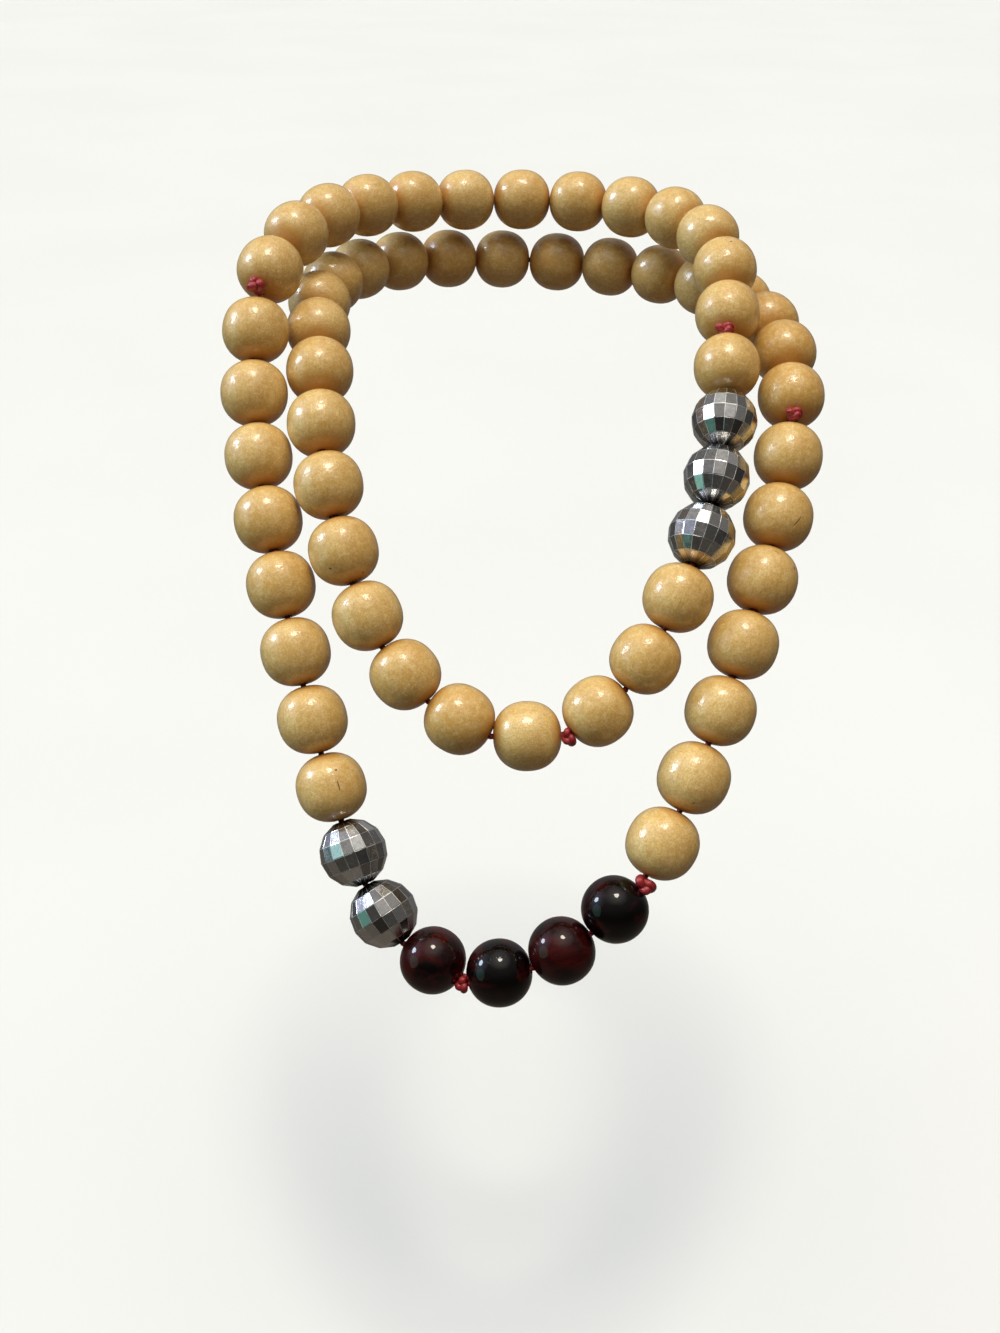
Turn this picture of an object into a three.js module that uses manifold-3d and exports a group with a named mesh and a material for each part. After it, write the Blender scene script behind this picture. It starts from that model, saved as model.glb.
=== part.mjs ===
// A beaded necklace: one endless red cord threaded with 64 round beads and worn wound twice round the neck.
// Lengths are in millimetres. +Z is up, the front of the necklace faces -Y, and +X is the viewer's right.
// The origin is on the neck's axis, level with the upper turn at the nape.
//
// From its first bead, high on the left of the long outer drop, the strand runs down that drop and up its
// right side, behind the neck as the lower turn, down and up the short inner drop, and behind the neck
// again as the upper turn, back to where it began.
import * as THREE from "three";
import { mergeVertices } from "three/addons/utils/BufferGeometryUtils.js";
import Module from "manifold-3d";

const wasm = await Module();
wasm.setup();

// ---- Driving dimensions ----
// Turned wood, a little shorter than wide. Its side is a curve between an ellipse, 2, and a barrel, more.
const CREAM = { radius: 10, length: 19.3, fullness: 2.2 };
const DARK = { radius: 9.6, length: 18.3, fullness: 2.06 };
const SILVER = { radius: 9.75, length: 18.84 }; // cut flat at both ends, where its facets stop
const END_RADIUS = 0.18; // a turned bead's flat ends, as a share of its radius
const SILVER_COLUMNS = 18; // mirror facets round the bead's equator
const SILVER_ROWS = 6; // and from end to end
const BORE_RADIUS = 1.4;
const CORD_RADIUS = 0.95;
const CORD_SIDES = 8;
const KNOT_RADIUS = 3.2;
const KNOT_BORE_RADIUS = 1.3;
const LEAST_GAP = 0.3; // bare cord between two beads, or a bead and a knot, at the least
const BEAD_SEGMENTS = 12;
const PROFILE_STEPS = 8; // straight steps in the half circle of a bead's side
const CORD_BITE = 1; // how far a joined run's cord reaches into the beads at its two ends
const UP = new THREE.Vector3(0, 0, 1);

// ---- The strand's route: the line on which each bead's two ends lie ----
const ROUTE = [
  // outer drop, down its left side from beside the neck
  { x: -75, y: -6, z: 0 },
  { x: -80, y: -22, z: -10 },
  { x: -80, y: -49, z: -42 },
  { x: -73, y: -75, z: -71 },
  { x: -64, y: -97, z: -103 },
  { x: -53, y: -117, z: -136 },
  { x: -46, y: -127, z: -151 },
  // its lowest stretch
  { x: -35, y: -136, z: -165 },
  { x: -18, y: -143, z: -171 },
  { x: 0, y: -145, z: -167 },
  { x: 16, y: -142, z: -158 },
  { x: 31, y: -134, z: -146 },
  // up its right side
  { x: 50, y: -113, z: -115 },
  { x: 64, y: -90, z: -84 },
  { x: 75, y: -63, z: -57 },
  { x: 80, y: -31, z: -32 },
  // lower turn, behind the neck
  { x: 75, y: 8, z: -24 },
  { x: 55, y: 42, z: -22 },
  { x: 22, y: 63, z: -22 },
  { x: -17, y: 67, z: -21 },
  { x: -50, y: 47, z: -18 },
  { x: -65, y: 10, z: -18 },
  // inner drop, down its left side
  { x: -62, y: -28, z: -25 },
  { x: -59, y: -61, z: -46 },
  { x: -50, y: -85, z: -76 },
  { x: -41, y: -95, z: -92 },
  // its lowest stretch
  { x: -28, y: -103, z: -105 },
  { x: -10, y: -109, z: -113 },
  { x: 11, y: -109, z: -112 },
  { x: 28, y: -104, z: -100 },
  // up its right side
  { x: 47, y: -85, z: -70 },
  { x: 57, y: -57, z: -46 },
  { x: 61, y: -24, z: -22 },
  // upper turn, behind the neck and over the lower one
  { x: 62, y: 12, z: -4 },
  { x: 44, y: 46, z: 0 },
  { x: 10, y: 63, z: 0 },
  { x: -29, y: 57, z: 1 },
  { x: -58, y: 30, z: 4 },
];

// ---- The beads in their order on the cord ----
// stretch: the part of the strand a row belongs to. kind: the bead. count: how many follow each other.
// size: the beads' scale, as turned beads differ a little. spare: bare cord after the row's last bead.
// knot: the knot's thickness there, or 0.
const SEQUENCE = [
  { stretch: "outer", kind: "cream", count: 1, size: 1, spare: 0, knot: 1.7 },
  { stretch: "outer", kind: "cream", count: 5, size: 1, spare: 0, knot: 0 },
  { stretch: "outer", kind: "cream", count: 3, size: 1.01, spare: 0, knot: 0 },
  { stretch: "outer", kind: "silver", count: 2, size: 1, spare: 0.6, knot: 0 },
  { stretch: "outer", kind: "dark", count: 1, size: 1, spare: 0, knot: 0.8 },
  { stretch: "outer", kind: "dark", count: 1, size: 1, spare: 0.3, knot: 0 },
  { stretch: "outer", kind: "dark", count: 2, size: 1, spare: 0, knot: 2.6 },
  { stretch: "outer", kind: "cream", count: 2, size: 1.03, spare: 0.2, knot: 0 },
  { stretch: "outer", kind: "cream", count: 5, size: 1.01, spare: 0, knot: 0.8 },
  { stretch: "outer", kind: "cream", count: 1, size: 1, spare: 0.2, knot: 0 },
  { stretch: "lower_turn_right", kind: "cream", count: 5, size: 0.99, spare: 0, knot: 0 },
  { stretch: "lower_turn_middle", kind: "cream", count: 5, size: 0.99, spare: 0.2, knot: 0 },
  { stretch: "lower_turn_left", kind: "cream", count: 4, size: 0.99, spare: 0, knot: 0 },
  { stretch: "inner", kind: "cream", count: 6, size: 1.01, spare: 0.2, knot: 0 },
  { stretch: "inner", kind: "cream", count: 1, size: 1.01, spare: 0.5, knot: 0 },
  { stretch: "inner", kind: "cream", count: 1, size: 1, spare: 0, knot: 1.7 },
  { stretch: "inner", kind: "cream", count: 1, size: 1, spare: 0.2, knot: 0 },
  { stretch: "inner", kind: "cream", count: 2, size: 1, spare: 0, knot: 0 },
  { stretch: "inner", kind: "silver", count: 3, size: 1, spare: 0, knot: 0 },
  { stretch: "inner", kind: "cream", count: 1, size: 1, spare: 0, knot: 0.7 },
  { stretch: "inner", kind: "cream", count: 2, size: 1, spare: 0.4, knot: 0 },
  { stretch: "upper_turn_right", kind: "cream", count: 5, size: 1, spare: 0, knot: 0 },
  { stretch: "upper_turn_left", kind: "cream", count: 5, size: 1, spare: 0.4, knot: 0 },
];

const BEAD_KINDS = { cream: CREAM, dark: DARK, silver: SILVER };
const DRAWN_BEAD_BY_BEAD = ["outer", "inner"];

// ---- Materials ----
function finish(color, roughness, metalness) {
  return new THREE.MeshStandardMaterial({ color, roughness, metalness });
}
const MATERIALS = {
  cream: finish(0xdeb87d, 0.3, 0),
  dark: finish(0x2c100e, 0.15, 0),
  silver: finish(0xb8bbbe, 0.2, 1),
  cord: finish(0xb3202d, 0.45, 0),
};

// ---- Setting the beads out along the route ----
const route = new THREE.CatmullRomCurve3(
  ROUTE.map(({ x, y, z }) => new THREE.Vector3(x, y, z)),
  true,
);
const routeLength = route.getLength();

// The next place on the route that is a straight distance away from the place at t.
function stepAlong(t, distance) {
  const from = route.getPoint(t);
  const reach = (u) => route.getPoint(Math.min(u, 1 + t) % 1).distanceTo(from);
  let near = t;
  let far = t + distance / routeLength / 2;
  while (reach(far) < distance) {
    near = far;
    far += distance / routeLength / 4;
  }
  for (let i = 0; i < 40; i++) {
    const middle = (near + far) / 2;
    if (reach(middle) < distance) near = middle;
    else far = middle;
  }
  return far;
}

// One entry for each bead, with the bare length of cord that follows it when neighbours are gap apart.
const beads = SEQUENCE.flatMap((row) =>
  Array.from({ length: row.count }, (_, i) => {
    const last = i === row.count - 1;
    return { ...row, ...BEAD_KINDS[row.kind], spare: last ? row.spare : 0, knot: last ? row.knot : 0 };
  }),
);
const spaceAfter = (bead, gap) => gap + bead.spare + (bead.knot ? bead.knot + gap : 0);

// Walks the whole strand once, and returns the places where it would end.
function walk(gap) {
  let t = 0;
  const places = [];
  for (const bead of beads) {
    const start = t;
    const end = stepAlong(start, bead.length * bead.size);
    t = stepAlong(end, spaceAfter(bead, gap));
    places.push({ start, end });
  }
  return { places, end: t };
}

// The gap that lets the last bead meet the first: what is left of the cord, shared equally.
function closingGap() {
  let small = 0;
  let large = 1;
  for (let i = 0; i < 30; i++) {
    const middle = (small + large) / 2;
    if (walk(middle).end < 1) small = middle;
    else large = middle;
  }
  return small;
}

const gap = closingGap();
if (gap < LEAST_GAP) throw new Error(`the route is too short: its beads are ${gap.toFixed(3)} mm apart`);
walk(gap).places.forEach(({ start, end }, i) => {
  beads[i].start = route.getPoint(start % 1);
  beads[i].end = route.getPoint(end % 1);
});

// ---- Shapes ----
const turned = (profile, segments) =>
  new THREE.LatheGeometry(
    profile.map(([radius, height]) => new THREE.Vector2(radius, height)),
    segments,
  );

// The side of a bead, from its lower end to its upper one, as [radius, height] pairs.
function beadSide(bead) {
  const radius = bead.radius * bead.size;
  const height = (bead.length * bead.size) / 2;
  const silver = bead.kind === "silver";
  const power = silver ? 1 : 2 / bead.fullness;
  const top = silver ? Math.asin(height / radius) : Math.acos(END_RADIUS ** (1 / power));
  const rise = height / Math.sin(top) ** power;
  const steps = silver ? SILVER_ROWS : PROFILE_STEPS;
  return Array.from({ length: steps + 1 }, (_, i) => {
    const latitude = top * ((2 * i) / steps - 1);
    const lift = Math.sign(latitude) * Math.abs(Math.sin(latitude)) ** power;
    return [radius * Math.cos(latitude) ** power, rise * lift];
  });
}

function drilledBead(bead) {
  const height = (bead.length * bead.size) / 2;
  const bore = [
    [BORE_RADIUS, height],
    [BORE_RADIUS, -height],
  ];
  const side = beadSide(bead);
  return turned([...side, ...bore, side[0]], bead.kind === "silver" ? SILVER_COLUMNS : BEAD_SEGMENTS);
}

function solidBead(bead) {
  const height = (bead.length * bead.size) / 2;
  return turned([[0, -height], ...beadSide(bead), [0, height]], BEAD_SEGMENTS);
}

// A knot drawn tight between two beads: a lens round the cord, thinner towards its rim, where beads tilt.
function knotShape(thickness) {
  const [hub, shoulder, rim] = [0.5, 0.42, 0.16].map((share) => share * thickness);
  const half = [
    [KNOT_BORE_RADIUS, hub],
    [KNOT_RADIUS * 0.7, shoulder],
    [KNOT_RADIUS, rim],
  ];
  const lower = half.map(([radius, height]) => [radius, -height]);
  return turned([...lower, ...half.toReversed(), lower[0]], BEAD_SEGMENTS);
}

// A line through given points, whose equal steps are those points.
class Stations extends THREE.Curve {
  constructor(points) {
    super();
    this.points = points;
  }
  getUtoTmapping(u) {
    return u;
  }
  getPoint(t, target = new THREE.Vector3()) {
    const place = Math.min(Math.max(t, 0), 1) * (this.points.length - 1);
    const before = Math.min(Math.floor(place), this.points.length - 2);
    return target.lerpVectors(this.points[before], this.points[before + 1], place - before);
  }
}

function cordThrough(points) {
  const section = new THREE.Shape();
  for (let i = 0; i < CORD_SIDES; i++) {
    const angle = (2 * Math.PI * i) / CORD_SIDES;
    const corner = [CORD_RADIUS * Math.cos(angle), CORD_RADIUS * Math.sin(angle)];
    if (i === 0) section.moveTo(...corner);
    else section.lineTo(...corner);
  }
  section.closePath();
  return new THREE.ExtrudeGeometry(section, {
    steps: points.length - 1,
    extrudePath: new Stations(points),
    curveSegments: 1,
  });
}

// Puts an object that was made along Y between two places on the strand, with its own X level.
function between(object, start, end) {
  const along = end.clone().sub(start).normalize();
  const level = along.clone().cross(UP).normalize();
  const across = level.clone().cross(along);
  object.position.lerpVectors(start, end, 0.5);
  object.quaternion.setFromRotationMatrix(new THREE.Matrix4().makeBasis(level, along, across));
  return object;
}

function solidOf(mesh) {
  mesh.updateMatrixWorld(true);
  const geometry = mesh.geometry.clone().applyMatrix4(mesh.matrixWorld);
  geometry.deleteAttribute("normal");
  geometry.deleteAttribute("uv");
  const merged = mergeVertices(geometry, 1e-3);
  return new wasm.Manifold(
    new wasm.Mesh({
      numProp: 3,
      vertProperties: merged.attributes.position.array,
      triVerts: new Uint32Array(merged.index.array),
    }),
  );
}

function geometryOf(solid) {
  const { vertProperties, triVerts } = solid.getMesh();
  const geometry = new THREE.BufferGeometry();
  geometry.setAttribute("position", new THREE.BufferAttribute(vertProperties, 3));
  geometry.setIndex(new THREE.BufferAttribute(triVerts, 1));
  return geometry;
}

// ---- The necklace ----
const necklace = new THREE.Group();

function add(name, mesh) {
  mesh.name = name;
  necklace.add(mesh);
}

// The drops: each bead is a piece of its own, and so is each knot.
function addDrop(stretch) {
  const counts = { cream: 0, dark: 0, silver: 0 };
  let knots = 0;
  beads.forEach((bead, i) => {
    if (bead.stretch !== stretch) return;
    const name = `${stretch}_${bead.kind}_bead_${++counts[bead.kind]}`;
    add(name, between(new THREE.Mesh(drilledBead(bead), MATERIALS[bead.kind]), bead.start, bead.end));
    if (!bead.knot) return;
    const next = beads[i + 1];
    add(
      `${stretch}_knot_${++knots}`,
      between(new THREE.Mesh(knotShape(bead.knot), MATERIALS.cord), bead.end, next.start),
    );
  });
}

// The cord of a drop, which runs free through the bores from its first bead to its last.
function addDropCord(stretch) {
  const points = beads.filter((bead) => bead.stretch === stretch).flatMap((bead) => [bead.start, bead.end]);
  add(`${stretch}_cord`, new THREE.Mesh(cordThrough(points), MATERIALS.cord));
}

// A run of beads behind the neck, joined along their cord into one piece.
function addRun(stretch) {
  const own = beads.filter((bead) => bead.stretch === stretch);
  const parts = own.map((bead) => between(new THREE.Mesh(solidBead(bead)), bead.start, bead.end));
  own.slice(1).forEach((bead, i) => {
    const from = own[i].end;
    const length = from.distanceTo(bead.start) + 2 * CORD_BITE;
    const link = new THREE.CylinderGeometry(CORD_RADIUS, CORD_RADIUS, length, CORD_SIDES);
    parts.push(between(new THREE.Mesh(link), from, bead.start));
  });
  const joined = parts.map(solidOf).reduce((whole, part) => whole.add(part));
  add(`${stretch}_beads`, new THREE.Mesh(geometryOf(joined), MATERIALS.cream));
}

for (const stretch of new Set(beads.map((bead) => bead.stretch))) {
  if (DRAWN_BEAD_BY_BEAD.includes(stretch)) {
    addDrop(stretch);
    addDropCord(stretch);
  } else {
    addRun(stretch);
  }
}

export default necklace;
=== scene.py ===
"""The looks of a beaded necklace: turned wooden beads, mirror-faceted beads and a knotted red cord.

Lengths are in metres, in the part's frame: +Z up, the front facing -Y, the origin on the neck's axis.
"""

import math
import random

import bpy
import numpy as np
from mathutils import Matrix, Vector, noise


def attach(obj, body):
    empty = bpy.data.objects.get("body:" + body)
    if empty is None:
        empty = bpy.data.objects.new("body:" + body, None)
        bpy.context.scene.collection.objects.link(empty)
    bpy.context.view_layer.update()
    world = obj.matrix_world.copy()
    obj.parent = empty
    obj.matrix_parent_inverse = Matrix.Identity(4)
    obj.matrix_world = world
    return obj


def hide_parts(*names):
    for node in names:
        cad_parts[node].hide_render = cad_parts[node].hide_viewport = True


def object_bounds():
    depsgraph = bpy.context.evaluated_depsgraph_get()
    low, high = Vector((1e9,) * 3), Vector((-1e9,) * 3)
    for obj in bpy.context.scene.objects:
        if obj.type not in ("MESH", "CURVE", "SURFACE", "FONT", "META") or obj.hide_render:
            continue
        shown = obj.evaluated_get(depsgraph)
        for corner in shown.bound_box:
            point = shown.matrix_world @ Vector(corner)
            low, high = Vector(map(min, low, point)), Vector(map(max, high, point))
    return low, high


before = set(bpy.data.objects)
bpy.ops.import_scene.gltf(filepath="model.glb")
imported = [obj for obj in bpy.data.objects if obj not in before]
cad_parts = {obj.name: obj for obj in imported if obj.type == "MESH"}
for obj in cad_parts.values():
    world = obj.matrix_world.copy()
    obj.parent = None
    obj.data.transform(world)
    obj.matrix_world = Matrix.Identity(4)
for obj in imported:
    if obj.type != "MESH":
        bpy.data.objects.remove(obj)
cad_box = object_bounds()

MM = 0.001

# ---- The strand's route: the line on which each bead's two ends lie ----
ROUTE = [
    # outer drop, down its left side from beside the neck
    (-0.075, -0.006, 0.000),
    (-0.080, -0.022, -0.010),
    (-0.080, -0.049, -0.042),
    (-0.073, -0.075, -0.071),
    (-0.064, -0.097, -0.103),
    (-0.053, -0.117, -0.136),
    (-0.046, -0.127, -0.151),
    # its lowest stretch
    (-0.035, -0.136, -0.165),
    (-0.018, -0.143, -0.171),
    (0.000, -0.145, -0.167),
    (0.016, -0.142, -0.158),
    (0.031, -0.134, -0.146),
    # up its right side
    (0.050, -0.113, -0.115),
    (0.064, -0.090, -0.084),
    (0.075, -0.063, -0.057),
    (0.080, -0.031, -0.032),
    # lower turn, behind the neck
    (0.075, 0.008, -0.024),
    (0.055, 0.042, -0.022),
    (0.022, 0.063, -0.022),
    (-0.017, 0.067, -0.021),
    (-0.050, 0.047, -0.018),
    (-0.065, 0.010, -0.018),
    # inner drop, down its left side
    (-0.062, -0.028, -0.025),
    (-0.059, -0.061, -0.046),
    (-0.050, -0.085, -0.076),
    (-0.041, -0.095, -0.092),
    # its lowest stretch
    (-0.028, -0.103, -0.105),
    (-0.010, -0.109, -0.113),
    (0.011, -0.109, -0.112),
    (0.028, -0.104, -0.100),
    # up its right side
    (0.047, -0.085, -0.070),
    (0.057, -0.057, -0.046),
    (0.061, -0.024, -0.022),
    # upper turn, behind the neck and over the lower one
    (0.062, 0.012, -0.004),
    (0.044, 0.046, 0.000),
    (0.010, 0.063, 0.000),
    (-0.029, 0.057, 0.001),
    (-0.058, 0.030, 0.004),
]

# ---- The beads in their order on the cord, as stretch, kind, count, size, spare cord and knot after ----
SEQUENCE = [
    ("outer", "cream", 1, 1.00, 0.0, 1.7 * MM),
    ("outer", "cream", 5, 1.00, 0.0, 0.0),
    ("outer", "cream", 3, 1.01, 0.0, 0.0),
    ("outer", "silver", 2, 1.00, 0.6 * MM, 0.0),
    ("outer", "dark", 1, 1.00, 0.0, 0.8 * MM),
    ("outer", "dark", 1, 1.00, 0.3 * MM, 0.0),
    ("outer", "dark", 2, 1.00, 0.0, 2.6 * MM),
    ("outer", "cream", 2, 1.03, 0.2 * MM, 0.0),
    ("outer", "cream", 5, 1.01, 0.0, 0.8 * MM),
    ("outer", "cream", 1, 1.00, 0.2 * MM, 0.0),
    ("lower_turn_right", "cream", 5, 0.99, 0.0, 0.0),
    ("lower_turn_middle", "cream", 5, 0.99, 0.2 * MM, 0.0),
    ("lower_turn_left", "cream", 4, 0.99, 0.0, 0.0),
    ("inner", "cream", 6, 1.01, 0.2 * MM, 0.0),
    ("inner", "cream", 1, 1.01, 0.5 * MM, 0.0),
    ("inner", "cream", 1, 1.00, 0.0, 1.7 * MM),
    ("inner", "cream", 1, 1.00, 0.2 * MM, 0.0),
    ("inner", "cream", 2, 1.00, 0.0, 0.0),
    ("inner", "silver", 3, 1.00, 0.0, 0.0),
    ("inner", "cream", 1, 1.00, 0.0, 0.7 * MM),
    ("inner", "cream", 2, 1.00, 0.4 * MM, 0.0),
    ("upper_turn_right", "cream", 5, 1.00, 0.0, 0.0),
    ("upper_turn_left", "cream", 5, 1.00, 0.4 * MM, 0.0),
]
DRAWN_BEAD_BY_BEAD = ("outer", "inner")

# ---- Sizes of the pieces ----
BEAD_RADIUS = {"cream": 10.0 * MM, "dark": 9.6 * MM, "silver": 9.75 * MM}
BEAD_LENGTH = {"cream": 19.3 * MM, "dark": 18.3 * MM, "silver": 18.84 * MM}
FINISH_SHRINK = 0.995  # keeps the round surface within the box of the faceted solids
FULLNESS = {"cream": 2.2, "dark": 2.06}  # a wooden bead's side: 2 is an ellipse, and more is a barrel
END_RADIUS = 0.18  # its flat ends, as a share of its radius
BORE_RADIUS = 1.4 * MM
MOUTH_ROUNDING = 0.33 * MM
BEAD_COLUMNS = 80
BEAD_ROWS = 40
WOBBLE = 0.05 * MM  # how far hand turning leaves a bead from round
SILVER_COLUMNS = 18
SILVER_ROWS = 6
FACET_BEVEL = 0.16 * MM
FACET_JITTER = 0.07 * MM
BEVEL_DEPTH = 0.35  # how far a facet's rim is sunk, as a share of its bevel
CORD_RADIUS = 0.95 * MM
CORD_PLIES = 3
PLY_LAY = 0.52  # how far the plies lie from the cord's middle, as a share of its radius
PLY_SIDES = 7
CORD_PITCH = 5.5 * MM
CORD_STEP = 0.7 * MM
KNOT_STRAND = 0.24  # the radius of a knot's strand, as a share of the knot's height
KNOT_STEPS = 150
KNOT_SIDES = 14

# ---- The knots: their size across and along the cord, and how far they are squeezed out of the gap between
# two beads: to the right and down as seen, and towards the viewer ----
KNOTS = {
    "outer_knot_1": (6.2 * MM, 5.4 * MM, 0.0, -2.0 * MM, 5.0 * MM),
    "outer_knot_2": (5.4 * MM, 4.4 * MM, -0.5 * MM, 1.9 * MM, 1.6 * MM),
    "outer_knot_3": (7.2 * MM, 5.4 * MM, 0.5 * MM, 0.9 * MM, 2.8 * MM),
    "outer_knot_4": (5.6 * MM, 4.3 * MM, -0.2 * MM, -2.4 * MM, 4.7 * MM),
    "inner_knot_1": (6.0 * MM, 4.3 * MM, 0.6 * MM, 0.9 * MM, 3.6 * MM),
    "inner_knot_2": (6.6 * MM, 4.4 * MM, -1.3 * MM, -1.9 * MM, 4.7 * MM),
}

# ---- The camera and floor, and the lamp, window and garden that the beads mirror ----
CAMERA_PLACE = Vector((-0.00776, -0.48506, 0.112))
CAMERA_DOWN = math.radians(28.3)
CAMERA_LENS_MM = 41.86
TO_CAMERA = Vector((0.0, -math.cos(CAMERA_DOWN), math.sin(CAMERA_DOWN)))
CAMERA_UP = Vector((0.0, math.sin(CAMERA_DOWN), math.cos(CAMERA_DOWN)))
FLOOR_DROP = 0.16
FLOOR_SIZE = 40.0
LAMP = (0.02, -0.10, 1.0)
WINDOW = (-0.86, 0.11, 0.50)
GARDEN = (-0.91, -0.33, 0.17)
# what the beads mirror, as direction, where it fades out and where it is full in degrees, strength, colour
GLOWS = [
    ((0, 0.2, 1), 110, 20, 0.22, (1.0, 0.96, 0.90)),
    ((0, -0.2, -1), 100, 30, 0.13, (1.0, 0.86, 0.70)),
    ((0, 1, 0.1), 80, 10, 0.12, (0.95, 0.97, 1.0)),
    (LAMP, 40, 6, 0.8, (1.0, 0.96, 0.90)),
    (WINDOW, 38, 5, 0.7, (0.66, 0.70, 1.0)),
]

# ---- Tones of single beads: of wood from 0, pale, to 1, orange-brown, and of dark wood up to 1, red ----
TONES = {
    "outer_cream_bead_10": 0.12,
    "outer_cream_bead_11": 0.15,
    "outer_cream_bead_17": 0.85,
    "inner_cream_bead_6": 0.45,
    "inner_cream_bead_7": 0.6,
    "inner_cream_bead_8": 0.08,
    "lower_turn_right_cream_bead_1": 0.9,
    "lower_turn_right_cream_bead_2": 0.8,
    "outer_dark_bead_1": 0.5,
    "outer_dark_bead_2": 0.12,
    "outer_dark_bead_3": 0.42,
    "outer_dark_bead_4": 0.0,
}
TONE_RANGE = (0.15, 0.6)

# ---- Pits and cracks: where they lie on the bead's near side, in bead radii across and up, their length
# and width, and how far they are turned, in degrees ----
MARKS = {
    "outer_cream_bead_9": [(0.22, 0.53, 0.5 * MM, 0.35 * MM, 0), (0.31, 0.11, 1.9 * MM, 0.2 * MM, 105)],
    "outer_cream_bead_14": [(0.80, 0.29, 0.6 * MM, 0.4 * MM, 90), (0.29, 0.74, 1.6 * MM, 0.18 * MM, 150)],
    "outer_cream_bead_15": [(0.39, -0.2, 2.4 * MM, 0.22 * MM, 45)],
    "outer_cream_bead_11": [(-0.10, -0.62, 0.35 * MM, 0.3 * MM, 0)],
    "inner_cream_bead_4": [(-0.28, -0.54, 0.45 * MM, 0.4 * MM, 0), (0.60, -0.64, 0.4 * MM, 0.35 * MM, 0)],
    "inner_cream_bead_14": [(0.10, 0.70, 0.5 * MM, 0.35 * MM, 20)],
    "outer_dark_bead_2": [(0.05, 0.62, 1.3 * MM, 0.5 * MM, 10), (-0.3, 0.5, 0.8 * MM, 0.4 * MM, 70)],
}
NO_MARK = 50.0


# ---- Setting the beads out along the route ----
def route_point(t):
    """The point at t, from 0 to 1, on the closed centripetal Catmull-Rom curve through ROUTE."""
    place = (t % 1.0) * len(ROUTE)
    first = int(place)
    weight = place - first
    p0, p1, p2, p3 = (Vector(ROUTE[(first + i) % len(ROUTE)]) for i in (-1, 0, 1, 2))
    d0, d1, d2 = (math.sqrt((b - a).length) for a, b in ((p0, p1), (p1, p2), (p2, p3)))
    leave = ((p1 - p0) / d0 - (p2 - p0) / (d0 + d1) + (p2 - p1) / d1) * d1
    arrive = ((p2 - p1) / d1 - (p3 - p1) / (d1 + d2) + (p3 - p2) / d2) * d1
    square = 3 * (p2 - p1) - 2 * leave - arrive
    cube = 2 * (p1 - p2) + leave + arrive
    return p1 + weight * (leave + weight * (square + weight * cube))


def step_along(t, distance):
    """The next place on the route that is a straight distance away from the place at t."""
    start = route_point(t)
    near, far = t, t + 2.5 * distance / ROUTE_LENGTH
    for _ in range(26):
        middle = (near + far) / 2
        if (route_point(middle) - start).length < distance:
            near = middle
        else:
            far = middle
    return far


def walk(gap):
    """Each bead's two places on the route when neighbours are gap apart, and where the walk ends."""
    t, places = 0.0, []
    for bead in beads:
        end = step_along(t, bead["length"])
        places.append((t, end))
        knot = bead["knot"] + gap if bead["knot"] else 0.0
        t = step_along(end, gap + bead["spare"] + knot)
    return places, t


def closing_gap():
    """The gap that lets the last bead meet the first."""
    small, large = 0.0, 1.0 * MM
    for _ in range(18):
        middle = (small + large) / 2
        if walk(middle)[1] < 1:
            small = middle
        else:
            large = middle
    return small


def set_out_beads():
    """Names the beads, and gives each its two ends and the turn that lays its own Y axis along the cord."""
    counts = {}
    for bead, (start, end) in zip(beads, walk(closing_gap())[0]):
        key = (bead["stretch"], bead["kind"])
        counts[key] = counts.get(key, 0) + 1
        bead["name"] = f"{bead['stretch']}_{bead['kind']}_bead_{counts[key]}"
        bead["start"], bead["end"] = route_point(start), route_point(end)
        axis = (bead["end"] - bead["start"]).normalized()
        bead["centre"] = (bead["start"] + bead["end"]) / 2
        level = axis.cross(Vector((0, 0, 1))).normalized()
        bead["turn"] = np.column_stack([level, axis, level.cross(axis)])


STEPS = 4000
ROUTE_LENGTH = sum((route_point((i + 1) / STEPS) - route_point(i / STEPS)).length for i in range(STEPS))
beads = [
    {
        "stretch": stretch,
        "kind": kind,
        "radius": BEAD_RADIUS[kind] * size,
        "length": BEAD_LENGTH[kind] * size,
        "spare": spare if i == count - 1 else 0.0,
        "knot": knot if i == count - 1 else 0.0,
    }
    for stretch, kind, count, size, spare, knot in SEQUENCE
    for i in range(count)
]
set_out_beads()


# ---- Mesh making ----
class Shape:
    """Points, faces and named values at the points, put together piece by piece."""

    def __init__(self):
        self.points = []
        self.faces = []
        self.values = {}
        self.count = 0

    def add(self, points, faces, **values):
        self.points.append(np.asarray(points, float))
        self.faces.extend([[i + self.count for i in face] for face in faces])
        for name, value in values.items():
            self.values.setdefault(name, []).append(np.asarray(value, float))
        self.count += len(points)

    def mesh(self, name, smooth=True):
        made = bpy.data.meshes.new(name)
        made.from_pydata(np.concatenate(self.points).tolist(), [], self.faces)
        for key, parts in self.values.items():
            data = np.concatenate(parts)
            kind, field = ("FLOAT_VECTOR", "vector") if data.ndim == 2 else ("FLOAT", "value")
            attribute = made.attributes.new(key, kind, "POINT")
            attribute.data.foreach_set(field, data.ravel().astype(np.float32))
        if smooth:
            made.polygons.foreach_set("use_smooth", [True] * len(made.polygons))
        made.update()
        return made


def show(mesh, name, material, slot, *nodes):
    """Makes the mesh a piece that rides on the necklace and stands for the given CAD nodes."""
    piece = bpy.data.objects.new(name, mesh)
    bpy.context.scene.collection.objects.link(piece)
    mesh.materials.append(material)
    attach(piece, "root")
    if nodes:
        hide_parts(*nodes)
    return piece


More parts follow.
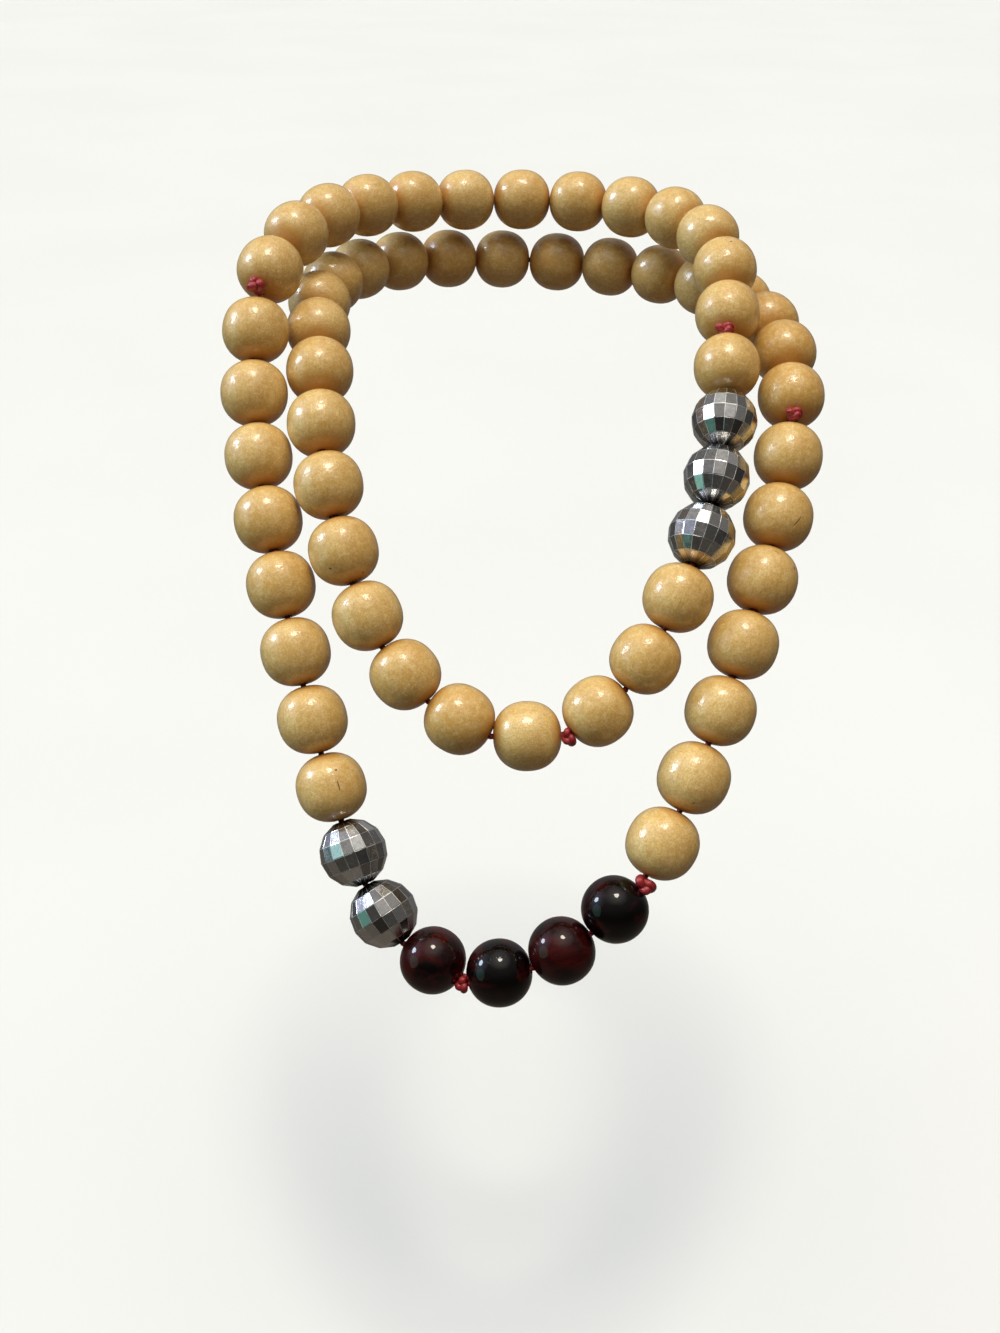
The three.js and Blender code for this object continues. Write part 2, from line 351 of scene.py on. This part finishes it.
def ring_faces(rings, columns, closed):
    """Quads between rings of points, and back from the last ring to the first if closed."""
    last = rings if closed else rings - 1
    return [
        (
            i * columns + j,
            i * columns + (j + 1) % columns,
            (i + 1) % rings * columns + (j + 1) % columns,
            (i + 1) % rings * columns + j,
        )
        for i in range(last)
        for j in range(columns)
    ]


def turned_points(profile, columns):
    """A profile of (radius, height) pairs turned about Y, ring by ring."""
    angles = np.arange(columns) * 2 * math.pi / columns
    rings = [
        np.column_stack([radius * np.sin(angles), np.full(columns, height), radius * np.cos(angles)])
        for radius, height in profile
    ]
    return np.concatenate(rings)


def bead_profile(bead):
    """A wooden bead's closed profile: round side, softened mouths and bore."""
    radius, half = bead["radius"], bead["length"] / 2
    power = 2 / FULLNESS[bead["kind"]]
    top = math.acos(END_RADIUS ** (1 / power))
    rise = half / math.sin(top) ** power
    latitudes = np.linspace(-top, top, BEAD_ROWS + 1)
    widths = [radius * math.cos(lat) ** power * FINISH_SHRINK for lat in latitudes]
    heights = [math.copysign(rise * abs(math.sin(lat)) ** power, lat) for lat in latitudes]
    side = list(zip(widths, heights))
    turns = [math.radians(a) for a in (30, 60, 90)]
    lip = side[-1][0] - BORE_RADIUS
    mouth = [
        (BORE_RADIUS + lip * (1 - math.sin(a)), half - MOUTH_ROUNDING * (1 - math.cos(a)))
        for a in turns
    ]
    bore = [(BORE_RADIUS, half * share) for share in (0.5, 0.0, -0.5)]
    return side + mouth + bore + [(r, -h) for r, h in reversed(mouth)]


def wobble(points, seed):
    """Points moved in and out a little, as a turned bead is never quite round."""
    shift = Vector((seed * 7.3, seed * 3.1, seed * 5.7))
    moves = [noise.noise(Vector(p) / (6 * MM) + shift) * WOBBLE - WOBBLE for p in points]
    lengths = np.linalg.norm(points, axis=1, keepdims=True)
    return points * (1 + np.array(moves)[:, None] / lengths)


def near_side(bead, across, up):
    """The direction, in a bead's own axes, of the point seen across and up of its middle."""
    depth = math.sqrt(max(0.0, 1 - across * across - up * up))
    world = Vector((across, 0, 0)) + up * CAMERA_UP + depth * TO_CAMERA
    return np.array(world.normalized()) @ bead["turn"]


def mark_values(bead, points, mark):
    """How far each point is from a mark, in the mark's own length and width."""
    if mark is None:
        return np.full((len(points), 3), NO_MARK)
    across, up, length, width, turn = mark
    out = near_side(bead, across, up)
    right = np.array([1.0, 0, 0]) @ bead["turn"]
    right -= out * (right @ out)
    right /= np.linalg.norm(right)
    over = np.cross(out, right)
    angle = math.radians(turn)
    along = right * math.cos(angle) + over * math.sin(angle)
    aside = np.cross(out, along)
    away = points - out * bead["radius"]
    return np.column_stack([away @ along / length, away @ aside / width, away @ out / (4 * length)])


def add_wooden_bead(shape, bead, seed):
    """Adds one turned bead. Its grain runs at an angle of its own, as each is cut from another place."""
    dice = random.Random(seed)
    profile = bead_profile(bead)
    own = wobble(turned_points(profile, BEAD_COLUMNS), seed)
    tilt = Matrix.Rotation(dice.uniform(-0.5, 0.5), 3, "X")
    spin = Matrix.Rotation(dice.uniform(0, 6.3), 3, "Y")
    grain = own @ np.array(tilt @ spin) / MM + [dice.uniform(-900, 900) for _ in range(3)]
    tone = TONES.get(bead["name"], dice.uniform(*TONE_RANGE))
    marks = (MARKS.get(bead["name"], []) + [None, None])[:2]
    end = np.abs(own[:, 1]) / (bead["length"] / 2)
    shape.add(
        own @ bead["turn"].T + np.array(bead["centre"]),
        ring_faces(len(profile), BEAD_COLUMNS, True),
        grain_mm=grain,
        tone=np.full(len(own), tone),
        end=end,
        mark_a=mark_values(bead, own, marks[0]),
        mark_b=mark_values(bead, own, marks[1]),
    )


def silver_rings():
    """The mirror-cut bead's rings of corners, from end to end, as (radius, height) pairs."""
    radius = BEAD_RADIUS["silver"]
    top = math.asin(BEAD_LENGTH["silver"] / 2 / radius)
    latitudes = np.linspace(-top, top, SILVER_ROWS + 1)
    return [(radius * math.cos(lat), radius * math.sin(lat)) for lat in latitudes]


def facet(corners, seed):
    """The points and faces of one flat facet with a narrow bevel round it, tipped a little out of true."""
    dice = random.Random(seed)
    corners = np.array(corners)
    centre = corners.mean(0)
    out = centre / np.linalg.norm(centre)
    inner = []
    for i in range(4):
        side_a = corners[(i + 1) % 4] - corners[i]
        side_b = corners[(i - 1) % 4] - corners[i]
        step = side_a / np.linalg.norm(side_a) + side_b / np.linalg.norm(side_b)
        inner.append(corners[i] + step * FACET_BEVEL)
    inner = np.array(inner)
    tip = dice.uniform(-1, 1), dice.uniform(-1, 1)
    for i, (a, b) in enumerate(((-1, -1), (1, -1), (1, 1), (-1, 1))):
        inner[i] += out * FACET_JITTER * (a * tip[0] + b * tip[1]) / 2
    rim = corners - out * FACET_BEVEL * BEVEL_DEPTH
    points = np.concatenate([rim, inner])
    faces = [(4, 5, 6, 7)] + [(i, (i + 1) % 4, 4 + (i + 1) % 4, 4 + i) for i in range(4)]
    return points, faces, [1, 1, 1, 1, 0, 0, 0, 0]


# ---- Node materials ----
class Nodes:
    """Short ways to make the nodes of one material."""

    def __init__(self, name):
        self.material = bpy.data.materials.new(name)
        self.material.use_nodes = True
        self.tree = self.material.node_tree
        self.shader = self.tree.nodes["Principled BSDF"]

    def make(self, kind, inputs=None, **settings):
        made = self.tree.nodes.new(kind)
        for key, value in settings.items():
            setattr(made, key, value)
        for key, value in (inputs or {}).items():
            self.set(made, key, value)
        return made

    def set(self, target, key, value):
        if isinstance(value, bpy.types.NodeSocket):
            self.tree.links.new(value, target.inputs[key])
        else:
            target.inputs[key].default_value = value

    def attribute(self, name, output="Vector"):
        return self.make("ShaderNodeAttribute", attribute_name=name).outputs[output]

    def stretched(self, vector, scale):
        return self.make("ShaderNodeMapping", {"Vector": vector, "Scale": scale}).outputs["Vector"]

    def noise(self, vector, scale, detail=2.0, roughness=0.5, distortion=0.0):
        inputs = {
            "Vector": vector,
            "Scale": scale,
            "Detail": detail,
            "Roughness": roughness,
            "Distortion": distortion,
        }
        return self.make("ShaderNodeTexNoise", inputs).outputs["Fac"]

    def math(self, operation, first, second=0.0, clamp=False):
        inputs = {0: first, 1: second}
        return self.make("ShaderNodeMath", inputs, operation=operation, use_clamp=clamp).outputs[0]

    def ramp(self, value, low, high, to_low=0.0, to_high=1.0):
        inputs = {"Value": value, "From Min": low, "From Max": high, "To Min": to_low, "To Max": to_high}
        return self.make("ShaderNodeMapRange", inputs, interpolation_type="SMOOTHSTEP").outputs["Result"]

    def mix(self, share, first, second, blend="MIX"):
        inputs = {"Factor": share, "A": first, "B": second}
        made = self.tree.nodes.new("ShaderNodeMix")
        made.data_type, made.blend_type = "RGBA", blend
        for socket in made.inputs:
            if socket.name in inputs and socket.type in ("RGBA", "VALUE") and socket.enabled:
                value = inputs[socket.name]
                if isinstance(value, bpy.types.NodeSocket):
                    self.tree.links.new(value, socket)
                else:
                    socket.default_value = value
        return next(s for s in made.outputs if s.type == "RGBA")

    def bump(self, height, distance, strength=1.0, under=None):
        inputs = {"Height": height, "Distance": distance, "Strength": strength}
        made = self.make("ShaderNodeBump", inputs)
        if under is not None:
            self.tree.links.new(under, made.inputs["Normal"])
        return made.outputs["Normal"]

    def finish(self, **inputs):
        for key, value in inputs.items():
            self.set(self.shader, key.replace("_", " "), value)
        return self.material


def mark_mask(nodes, name, edge):
    """1 inside a pit or crack, and 0 outside, with a ragged edge."""
    length = nodes.make("ShaderNodeVectorMath", {0: nodes.attribute(name)}, operation="LENGTH")
    ragged = nodes.math("ADD", length.outputs["Value"], nodes.math("MULTIPLY", edge, 0.5))
    return nodes.ramp(ragged, 0.75, 1.25, 1.0, 0.0)


def cream_wood():
    """Pale turned wood under a glossy lacquer, with faint grain, blotches and flecks, and a darker orange
    towards the ends that is painted shade and painted bounce light where beads meet.
    """
    nodes = Nodes("cream_wood")
    grain = nodes.attribute("grain_mm")
    tone = nodes.attribute("tone", "Fac")
    blotch = nodes.noise(grain, 0.16, 3.0, 0.55)
    cloud = nodes.noise(grain, 0.55, 4.0, 0.65, 0.5)
    mottle = nodes.noise(grain, 2.1, 4.0, 0.75, 0.4)
    streak = nodes.noise(nodes.stretched(grain, (2.4, 0.20, 2.4)), 1.0, 4.0, 0.65, 0.3)
    rings = nodes.noise(nodes.stretched(grain, (0.5, 0.03, 0.07)), 1.0, 2.0, 0.4)
    warmth = nodes.math("ADD", tone, nodes.ramp(blotch, 0.3, 0.7, -0.25, 0.25), clamp=True)
    colour = nodes.mix(warmth, (0.79, 0.56, 0.215, 1), (0.62, 0.335, 0.062, 1))
    colour = nodes.mix(nodes.ramp(rings, 0.42, 0.60, 0.0, 0.32), colour, (0.57, 0.32, 0.075, 1))
    colour = nodes.mix(nodes.ramp(streak, 0.42, 0.68, 0.0, 0.5), colour, (0.50, 0.275, 0.06, 1))
    colour = nodes.mix(nodes.ramp(cloud, 0.42, 0.66, 0.0, 0.4), colour, (0.90, 0.70, 0.36, 1))
    colour = nodes.mix(nodes.ramp(mottle, 0.38, 0.62, 0.55, 0.0), colour, (0.46, 0.245, 0.055, 1))
    flecks = nodes.make("ShaderNodeTexVoronoi", {"Vector": grain, "Scale": 0.42})
    fleck = nodes.ramp(flecks.outputs["Distance"], 0.035, 0.085, 1.0, 0.0)
    rare = nodes.ramp(nodes.noise(grain, 0.11, 1.0), 0.52, 0.62, 0.0, 0.7)
    colour = nodes.mix(nodes.math("MULTIPLY", fleck, rare), colour, (0.20, 0.085, 0.025, 1))
    # painted shade and painted bounce light: the wood turns a darker orange towards each end, where the
    # beads meet
    ragged = nodes.math("ADD", nodes.attribute("end", "Fac"), nodes.math("MULTIPLY", cloud, 0.16))
    colour = nodes.mix(nodes.ramp(ragged, 0.74, 1.08, 0.0, 0.8), colour, (0.50, 0.215, 0.032, 1))
    marks = nodes.math("MAXIMUM", mark_mask(nodes, "mark_a", mottle), mark_mask(nodes, "mark_b", mottle))
    colour = nodes.mix(nodes.math("MULTIPLY", marks, 0.88), colour, (0.12, 0.04, 0.014, 1))
    peel = nodes.bump(nodes.noise(grain, 0.6, 3.0, 0.55), 0.15 * MM, 0.9)
    fine = nodes.bump(mottle, 0.04 * MM, 0.6, peel)
    normal = nodes.bump(nodes.math("SUBTRACT", 1.0, marks), 0.25 * MM, 0.8, fine)
    return nodes.finish(
        Base_Color=colour,
        Roughness=nodes.ramp(blotch, 0.3, 0.7, 0.36, 0.48),
        Normal=normal,
        Coat_Weight=0.9,
        Coat_Roughness=0.07,
        Coat_IOR=1.5,
        Coat_Normal=normal,
    )


def dark_wood():
    """Near-black wood with oxblood streaks, deep under a high gloss."""
    nodes = Nodes("dark_wood")
    grain = nodes.attribute("grain_mm")
    tone = nodes.attribute("tone", "Fac")
    streak = nodes.noise(nodes.stretched(grain, (0.42, 0.09, 0.42)), 1.0, 5.0, 0.6, 0.8)
    blotch = nodes.noise(grain, 0.12, 2.0, 0.5)
    streaks = nodes.ramp(streak, 0.40, 0.70, -0.15, 0.35)
    blotches = nodes.ramp(blotch, 0.38, 0.62, -0.35, 0.2)
    red = nodes.math("ADD", nodes.math("ADD", streaks, blotches), tone, clamp=True)
    colour = nodes.mix(red, (0.0018, 0.0010, 0.0012, 1), (0.050, 0.0034, 0.0028, 1))
    pores = nodes.noise(nodes.stretched(grain, (3.0, 0.5, 3.0)), 1.0, 3.0, 0.6)
    colour = nodes.mix(nodes.ramp(pores, 0.54, 0.70, 0.0, 0.6), colour, (0.003, 0.0018, 0.0018, 1))
    marks = nodes.math("MAXIMUM", mark_mask(nodes, "mark_a", pores), mark_mask(nodes, "mark_b", pores))
    peel = nodes.bump(nodes.noise(grain, 0.5, 2.0, 0.5), 0.10 * MM, 0.5)
    normal = nodes.bump(nodes.math("SUBTRACT", 1.0, marks), 0.25 * MM, 0.8, peel)
    return nodes.finish(
        Base_Color=colour,
        Roughness=nodes.ramp(pores, 0.4, 0.7, 0.22, 0.38),
        Normal=normal,
        Coat_Weight=1.0,
        Coat_Roughness=0.03,
        Coat_IOR=1.42,
        Coat_Normal=normal,
        Specular_IOR_Level=0.05,
    )


def silver_facet():
    """Mirror coating on cut facets: grey, a little clouded and specked, with edges made pale as a painted
    highlight on the bevels, and painted shade towards the ends where beads meet.
    """
    nodes = Nodes("silver_facet")
    place = nodes.attribute("grain_mm")
    facet_tone = nodes.attribute("tone", "Fac")
    edge = nodes.attribute("edge", "Fac")
    cloud = nodes.noise(place, 0.9, 5.0, 0.65, 0.6)
    speck = nodes.noise(place, 4.0, 2.0, 0.6)
    scratch = nodes.noise(nodes.stretched(place, (6.0, 0.7, 6.0)), 1.0, 3.0, 0.6)
    shade = nodes.math("ADD", nodes.math("MULTIPLY", facet_tone, 0.65), nodes.math("MULTIPLY", cloud, 0.35))
    colour = nodes.mix(nodes.ramp(shade, 0.2, 0.75), (0.35, 0.345, 0.34, 1), (0.84, 0.845, 0.85, 1))
    colour = nodes.mix(nodes.ramp(speck, 0.62, 0.74, 0.0, 0.5), colour, (0.16, 0.15, 0.14, 1))
    # painted highlight: the bevelled edges are made paler, standing in for the light they catch
    colour = nodes.mix(nodes.ramp(edge, 0.15, 0.75, 0.0, 0.75), colour, (0.92, 0.92, 0.91, 1))
    # painted shade: the facets darken towards each end, where the beads meet
    painted_end_shade = nodes.ramp(nodes.attribute("end", "Fac"), 0.84, 0.97, 0.0, 0.9)
    colour = nodes.mix(painted_end_shade, colour, (0.055, 0.05, 0.05, 1))
    rough = nodes.ramp(cloud, 0.35, 0.7, 0.08, 0.22)
    rough = nodes.math("ADD", rough, nodes.math("MULTIPLY", facet_tone, 0.06))
    rough = nodes.math("ADD", rough, nodes.ramp(edge, 0.15, 0.75, 0.0, 0.3))
    normal = nodes.bump(scratch, 0.02 * MM, 0.3, nodes.bump(cloud, 0.06 * MM, 0.3))
    return nodes.finish(Base_Color=colour, Metallic=1.0, Roughness=rough, Normal=normal)


def red_cord():
    """Shiny laid nylon: fine filaments along each ply, darker in the grooves."""
    nodes = Nodes("red_cord")
    fibre = nodes.attribute("grain_mm")
    strand = nodes.noise(nodes.stretched(fibre, (0.5, 9.0, 9.0)), 1.0, 3.0, 0.6)
    patch = nodes.noise(fibre, 0.7, 3.0, 0.6)
    colour = nodes.mix(nodes.ramp(strand, 0.35, 0.7), (0.17, 0.005, 0.008, 1), (0.46, 0.026, 0.032, 1))
    colour = nodes.mix(nodes.ramp(patch, 0.45, 0.7, 0.0, 0.35), colour, (0.60, 0.08, 0.09, 1))
    return nodes.finish(
        Base_Color=colour,
        Roughness=nodes.ramp(patch, 0.3, 0.7, 0.25, 0.42),
        Normal=nodes.bump(strand, 0.12 * MM, 0.8),
        Coat_Weight=0.35,
        Coat_Roughness=0.25,
    )


MATERIALS = {"cream": cream_wood(), "dark": dark_wood(), "silver": silver_facet(), "cord": red_cord()}
SLOTS = {"cream": "cream_wood", "dark": "dark_wood", "silver": "silver_facet"}


# ---- The beads ----
def silver_bead(bead, seed):
    """A mirror-cut bead: a grid of bevelled facets, a flat ring at each end and a bore."""
    shape = Shape()
    dice = random.Random(seed)
    rings = silver_rings()
    turn, centre = bead["turn"], np.array(bead["centre"])
    corner = [turned_points([ring], SILVER_COLUMNS) for ring in rings]
    shift = [dice.uniform(-500, 500) for _ in range(3)]

    def put(points, faces, edge, tone):
        points = np.asarray(points)
        shape.add(
            points @ turn.T + centre,
            faces,
            grain_mm=points / MM + shift,
            edge=edge,
            end=np.abs(points[:, 1]) / (BEAD_LENGTH["silver"] / 2),
            tone=np.full(len(points), tone),
        )

    for row in range(SILVER_ROWS):
        for column in range(SILVER_COLUMNS):
            after = (column + 1) % SILVER_COLUMNS
            low, high = corner[row], corner[row + 1]
            corners = [low[column], low[after], high[after], high[column]]
            put(*facet(corners, dice.random()), dice.random())
    radius, height = rings[-1]
    mouth = [
        (radius - 0.05 * MM, height - 0.05 * MM),
        (radius - 0.3 * MM, height),
        (BORE_RADIUS * 1.15, height),
        (BORE_RADIUS, height - 0.15 * MM),
        (BORE_RADIUS, 0.0),
    ]
    upper = turned_points(mouth, SILVER_COLUMNS)
    faces = ring_faces(len(mouth), SILVER_COLUMNS, False)
    for flip in (1, -1):
        put(upper * [1, flip, 1], [face[::flip] for face in faces], np.zeros(len(upper)), 0.0)
    return shape.mesh(bead["name"], smooth=False)


def wooden_bead(bead, seed):
    """One turned bead as a mesh of its own."""
    shape = Shape()
    add_wooden_bead(shape, bead, seed)
    return shape.mesh(bead["name"])


def drop_beads(stretch):
    """The beads of a drop, each a piece of its own."""
    for i, bead in enumerate(beads):
        if bead["stretch"] != stretch:
            continue
        kind = bead["kind"]
        make = silver_bead if kind == "silver" else wooden_bead
        show(make(bead, 100 + i), "fine_" + bead["name"], MATERIALS[kind], SLOTS[kind], bead["name"])


def run_beads(stretch):
    """The beads of a run behind the neck, as one piece."""
    shape = Shape()
    for i, bead in enumerate(beads):
        if bead["stretch"] == stretch:
            add_wooden_bead(shape, bead, 100 + i)
    name = stretch + "_beads"
    show(shape.mesh(name), "fine_" + name, MATERIALS["cream"], SLOTS["cream"], name)


# ---- The cord and its knots ----
def frames_along(points, closed):
    """The tangent and two crossways directions at each point, turning as little as they can."""
    points = np.asarray(points)
    if closed:
        tangents = np.roll(points, -1, 0) - np.roll(points, 1, 0)
    else:
        tangents = np.gradient(points, axis=0)
    tangents /= np.linalg.norm(tangents, axis=1, keepdims=True)
    side = np.cross(tangents[0], [0.3, 0.5, 0.81])
    sides = []
    for tangent in tangents:
        side = side - tangent * (side @ tangent)
        side = side / np.linalg.norm(side)
        sides.append(side)
    sides = np.array(sides)
    return sides, np.cross(tangents, sides)


def add_strand(shape, points, radius, sides, closed, seed):
    """A round strand along points. Its values run along it and round it, in millimetres."""
    points = np.asarray(points)
    across, over = frames_along(points, closed)
    angles = (np.arange(sides) * 2 * math.pi / sides)[None, :, None]
    wheel = np.cos(angles) * across[:, None, :] + np.sin(angles) * over[:, None, :]
    rings = points[:, None, :] + radius * wheel
    run = np.concatenate([[0], np.cumsum(np.linalg.norm(np.diff(points, axis=0), axis=1))]) / MM
    along = np.repeat(run, sides)
    fibre = np.column_stack([along + seed * 37, wheel.reshape(-1, 3)[:, :2] * radius / MM])
    faces = ring_faces(len(points), sides, closed)
    if not closed:
        faces += [tuple(range(sides))[::-1], tuple(range((len(points) - 1) * sides, len(points) * sides))]
    shape.add(rings.reshape(-1, 3), faces, grain_mm=fibre)


def evenly(points, step):
    """The same line with points a step apart."""
    points = np.asarray(points)
    lengths = np.concatenate([[0], np.cumsum(np.linalg.norm(np.diff(points, axis=0), axis=1))])
    places = np.linspace(0, lengths[-1], max(2, int(lengths[-1] / step)))
    return np.column_stack([np.interp(places, lengths, points[:, i]) for i in range(3)]), places


def cord(stretches, name, *nodes):
    """A laid cord through all the beads of some neighbouring stretches."""
    own = [bead for bead in beads if bead["stretch"] in stretches]
    ends = [np.array(bead[key]) for bead in own for key in ("start", "end")]
    line, places = evenly(ends, CORD_STEP)
    across, over = frames_along(line, False)
    lay = CORD_RADIUS * PLY_LAY
    shape = Shape()
    for ply in range(CORD_PLIES):
        angle = 2 * math.pi * (places / CORD_PITCH + ply / CORD_PLIES)
        path = line + lay * (np.cos(angle)[:, None] * across + np.sin(angle)[:, None] * over)
        add_strand(shape, path, CORD_RADIUS - lay, PLY_SIDES, False, ply)
    show(shape.mesh(name), name, MATERIALS["cord"], "red_cord", *nodes)


def knot(name, before, after, seed):
    """An overhand knot, drawn tight and squeezed out to the front between two beads."""
    wide, tall, right, down, out = KNOTS[name]
    start, end = before["end"], after["start"]
    axis = (end - start).normalized()
    front = TO_CAMERA - axis * TO_CAMERA.dot(axis)
    front.normalize()
    side = axis.cross(front)
    place = (start + end) / 2 + Vector((right, 0, 0)) - CAMERA_UP * down + TO_CAMERA * out
    strand = KNOT_STRAND * tall
    reach_x, reach_y = wide / 2 - strand, tall / 2 - strand
    turn = random.Random(seed).uniform(0, 2.1)
    points = []
    for share in np.linspace(0, 1, KNOT_STEPS, endpoint=False):
        wave = 2 * math.pi * share + turn
        x = (math.sin(wave) + 2 * math.sin(2 * wave)) / 3
        y = (math.cos(wave) - 2 * math.cos(2 * wave)) / 3
        z = -math.sin(3 * wave)
        points.append(place + side * x * reach_x + axis * y * reach_y + front * z * strand)
    shape = Shape()
    add_strand(shape, points, strand, KNOT_SIDES, True, seed)
    show(shape.mesh(name), "fine_" + name, MATERIALS["cord"], "red_cord", name)


def knots():
    """Every knot, named in its order on its drop."""
    counts = {}
    for i, bead in enumerate(beads):
        if bead["knot"]:
            counts[bead["stretch"]] = counts.get(bead["stretch"], 0) + 1
            name = f"{bead['stretch']}_knot_{counts[bead['stretch']]}"
            knot(name, bead, beads[(i + 1) % len(beads)], i)


# ---- Camera, lights and stage ----
def camera():
    """A camera in front of the necklace and a little above, looking down at it."""
    data = bpy.data.cameras.new("camera")
    data.lens = CAMERA_LENS_MM
    data.sensor_width = 36
    data.clip_start, data.clip_end = 0.01, 100
    made = bpy.data.objects.new("camera", data)
    made.location = CAMERA_PLACE
    made.rotation_euler = (math.pi / 2 - CAMERA_DOWN, 0, 0)
    bpy.context.scene.collection.objects.link(made)
    bpy.context.scene.camera = made


def distant_light(name, towards, spread, strength, colour, glossy=True):
    """An even soft light from far away. spread is how wide it looks, in degrees."""
    data = bpy.data.lights.new(name, "SUN")
    data.angle = math.radians(spread)
    data.energy = strength
    data.color = colour
    made = bpy.data.objects.new(name, data)
    made.rotation_mode = "QUATERNION"
    made.rotation_quaternion = Vector(towards).to_track_quat("Z", "Y")
    made.visible_glossy = glossy
    bpy.context.scene.collection.objects.link(made)


def lights():
    """Lamp above, window on the left, a dim green garden below it, and warm light back from below."""
    distant_light("lamp", LAMP, 14, 1.15, (1.0, 0.94, 0.80))
    distant_light("soft_lamp", LAMP, 75, 1.62, (1.0, 0.93, 0.79), glossy=False)
    distant_light("window", WINDOW, 15, 1.2, (0.70, 0.84, 1.0))
    distant_light("soft_window", WINDOW, 60, 0.95, (0.48, 0.76, 1.0), glossy=False)
    distant_light("garden", GARDEN, 36, 0.16, (0.36, 1.0, 0.82))
    distant_light("bounce", (0, -0.3, -1), 130, 0.16, (1.0, 0.50, 0.16), glossy=False)


def surroundings():
    """A plain room: dim in front, where the camera stands, lighter overhead and pale where it is seen."""
    world = bpy.data.worlds.new("room")
    bpy.context.scene.world = world
    world.use_nodes = True
    tree = world.node_tree
    place = tree.nodes.new("ShaderNodeTexCoord").outputs["Generated"]

    def glow(direction, edge, core, strength):
        """Light about a direction, which fades from strength at core degrees to nothing at edge degrees."""
        dot = tree.nodes.new("ShaderNodeVectorMath")
        dot.operation = "DOT_PRODUCT"
        tree.links.new(place, dot.inputs[0])
        dot.inputs[1].default_value = Vector(direction).normalized()
        fade = tree.nodes.new("ShaderNodeMapRange")
        fade.interpolation_type = "SMOOTHSTEP"
        values = (math.cos(math.radians(edge)), math.cos(math.radians(core)), 0.0, strength)
        for key, value in zip(("From Min", "From Max", "To Min", "To Max"), values):
            fade.inputs[key].default_value = value
        tree.links.new(dot.outputs["Value"], fade.inputs["Value"])
        return fade.outputs["Result"]

    total = None
    for direction, edge, core, strength, colour in GLOWS:
        layer = tree.nodes.new("ShaderNodeBackground")
        layer.inputs["Color"].default_value = (*colour, 1)
        tree.links.new(glow(direction, edge, core, strength), layer.inputs["Strength"])
        if total is None:
            total = layer.outputs[0]
            continue
        both = tree.nodes.new("ShaderNodeAddShader")
        tree.links.new(total, both.inputs[0])
        tree.links.new(layer.outputs[0], both.inputs[1])
        total = both.outputs[0]
    seen = tree.nodes.new("ShaderNodeMixShader")
    path = tree.nodes.new("ShaderNodeLightPath")
    pale = tree.nodes["Background"]
    pale.inputs["Color"].default_value = (0.93, 0.925, 0.90, 1)
    tree.links.new(path.outputs["Is Camera Ray"], seen.inputs[0])
    tree.links.new(total, seen.inputs[1])
    tree.links.new(pale.outputs[0], seen.inputs[2])
    tree.links.new(seen.outputs[0], tree.nodes["World Output"].inputs["Surface"])


def floor():
    """A wide pale floor below the necklace, which takes its shadow and leaves no light on the beads."""
    nodes = Nodes("pale_floor")
    place = nodes.make("ShaderNodeTexCoord").outputs["Object"]
    tint = nodes.noise(place, 3.0, 3.0)
    colour = nodes.mix(nodes.ramp(tint, 0.3, 0.7), (0.63, 0.625, 0.615, 1), (0.645, 0.64, 0.63, 1))
    nodes.finish(Base_Color=colour, Roughness=0.8)
    half = FLOOR_SIZE / 2
    height = cad_box[0].z - FLOOR_DROP
    mesh = bpy.data.meshes.new("floor")
    corners = [(-half, -half), (half, -half), (half, half), (-half, half)]
    mesh.from_pydata([(x, y, height) for x, y in corners], [], [(0, 1, 2, 3)])
    mesh.materials.append(nodes.material)
    made = bpy.data.objects.new("floor", mesh)
    made.visible_diffuse = False
    made.visible_glossy = False
    made.visible_shadow = False
    bpy.context.scene.collection.objects.link(made)


# ---- The scene ----
camera()
for name in DRAWN_BEAD_BY_BEAD:
    drop_beads(name)
for name in dict.fromkeys(bead["stretch"] for bead in beads):
    if name not in DRAWN_BEAD_BY_BEAD:
        run_beads(name)
cord(("outer",), "fine_outer_cord", "outer_cord")
cord(("inner",), "fine_inner_cord", "inner_cord")
cord(("lower_turn_right", "lower_turn_middle", "lower_turn_left"), "lower_turn_cord")
cord(("upper_turn_right", "upper_turn_left"), "upper_turn_cord")
knots()
lights()
surroundings()
floor()
bpy.context.scene.view_settings.view_transform = "Standard"
